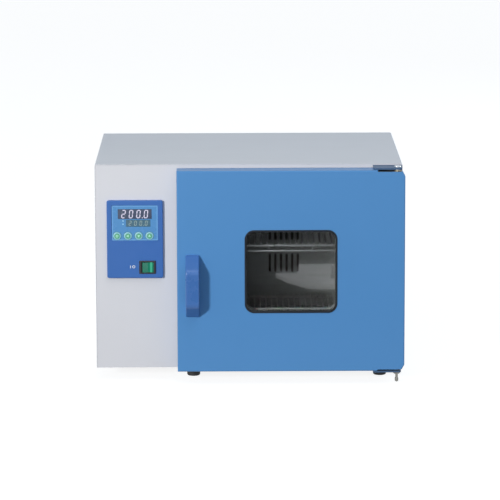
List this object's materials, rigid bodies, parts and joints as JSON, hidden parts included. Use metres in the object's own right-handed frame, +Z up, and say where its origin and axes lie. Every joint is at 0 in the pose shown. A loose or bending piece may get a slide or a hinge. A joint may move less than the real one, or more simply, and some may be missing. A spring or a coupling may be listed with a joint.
{
  "type": "drying oven",
  "caption": "Bench-top forced-air drying oven with a hinged insulated door and window, wire shelves, a circulation fan, a digital controller and a rear vent.",
  "frame": {"origin": "on the table under the middle of the oven's overall box", "axes": "+X to the right seen from the front, +Y to the back, +Z up; the door faces -Y"},
  "size_m": [0.5886, 0.517, 0.42],
  "materials": {
    "cabinet_paint": "satin",
    "stainless_steel": "polished",
    "shelf_steel": "bright",
    "zinc_steel": "satin",
    "hinge_paint": "satin",
    "chrome_steel": "bright",
    "brass": "satin",
    "aluminium": "satin",
    "mineral_wool": "matt",
    "door_paint": "satin",
    "handle_plastic": "satin",
    "panel_plastic": "satin",
    "face_film": "satin",
    "key_plastic": "satin",
    "display_lens": "gloss",
    "black_plastic": "satin",
    "cream_plastic": "matt",
    "rocker_green": "gloss",
    "foot_rubber": "matt",
    "gasket_rubber": "satin",
    "silicone": "satin",
    "window_glass": "clear"
  },
  "bodies": {
    "root": {"cabinet_wrap": "cabinet_paint", "front_panel": "cabinet_paint", "rear_cover": "cabinet_paint", "partition": "cabinet_paint", "base_pan": "cabinet_paint", "chamber_liner": "stainless_steel", "air_baffle": "stainless_steel", "shelf_rack_left": "stainless_steel", "shelf_rack_right": "stainless_steel", "temperature_probe": "stainless_steel", "heater_element": "stainless_steel", "vent_tube": "stainless_steel", "shelf_lower": "shelf_steel", "shelf_upper": "shelf_steel", "cabinet_screws": "zinc_steel", "pivot_bolt": "zinc_steel", "motor_bracket": "zinc_steel", "upper_hinge_bracket": "hinge_paint", "lower_hinge_bracket": "hinge_paint", "hinge_pin": "chrome_steel", "relay_heat_sink": "aluminium", "fan_motor": "aluminium", "insulation_wrap": "mineral_wool", "insulation_rear": "mineral_wool", "control_panel": "panel_plastic", "controller_face": "face_film", "digit_displays": "display_lens", "switch_bezel": "black_plastic", "mains_inlet": "black_plastic", "controller_case": "black_plastic", "power_relay": "black_plastic", "vent_seat": "black_plastic", "catch_magnet": "black_plastic", "terminal_block": "cream_plastic", "foot_front_left": "foot_rubber", "foot_front_right": "foot_rubber", "foot_rear_left": "foot_rubber", "foot_rear_right": "foot_rubber", "chamber_seal": "silicone"},
    "door": {"door_skin": "door_paint", "door_inner_pan": "stainless_steel", "door_insulation": "mineral_wool", "window_gasket": "gasket_rubber", "outer_glass": "window_glass", "inner_glass": "window_glass", "inner_gasket": "silicone", "window_tunnel": "stainless_steel", "door_handle": "handle_plastic", "handle_screws": "zinc_steel", "door_hinge_plates": "zinc_steel", "hinge_bushes": "brass", "strike_plate": "zinc_steel"},
    "fan": {"fan_impeller": "aluminium", "fan_shaft": "zinc_steel"},
    "vent": {"vent_dial": "black_plastic"},
    "rocker": {"rocker": "rocker_green"},
    "key_1": {"key_1": "key_plastic"},
    "key_2": {"key_2": "key_plastic"},
    "key_3": {"key_3": "key_plastic"},
    "key_4": {"key_4": "key_plastic"}
  },
  "joints": [
    {"name": "door_hinge", "type": "hinge", "parent": "root", "child": "door", "pos_m": [0.28025, -0.2005, 0.21975], "axis": [0, 0, 1], "range_deg": [0, 120]},
    {"name": "rocker_tilt", "type": "hinge", "parent": "root", "child": "rocker", "pos_m": [-0.19495, -0.18245, 0.22315], "axis": [0, 0, 1], "range_deg": [-16, 0]},
    {"name": "fan_spin", "type": "hinge", "parent": "root", "child": "fan", "pos_m": [0.07, 0.15, 0.20675], "axis": [0, 1, 0], "continuous": true},
    {"name": "vent_turn", "type": "hinge", "parent": "root", "child": "vent", "pos_m": [0.178, 0.249, 0.30775], "axis": [0, 1, 0], "range_deg": [0, 90]},
    {"name": "key_1_press", "type": "slide", "parent": "root", "child": "key_1", "axis": [0, 1, 0], "range_m": [0, 0.001], "stiffness_N_per_m": 300},
    {"name": "key_2_press", "type": "slide", "parent": "root", "child": "key_2", "axis": [0, 1, 0], "range_m": [0, 0.001], "stiffness_N_per_m": 300},
    {"name": "key_3_press", "type": "slide", "parent": "root", "child": "key_3", "axis": [0, 1, 0], "range_m": [0, 0.001], "stiffness_N_per_m": 300},
    {"name": "key_4_press", "type": "slide", "parent": "root", "child": "key_4", "axis": [0, 1, 0], "range_m": [0, 0.001], "stiffness_N_per_m": 300}
  ]
}
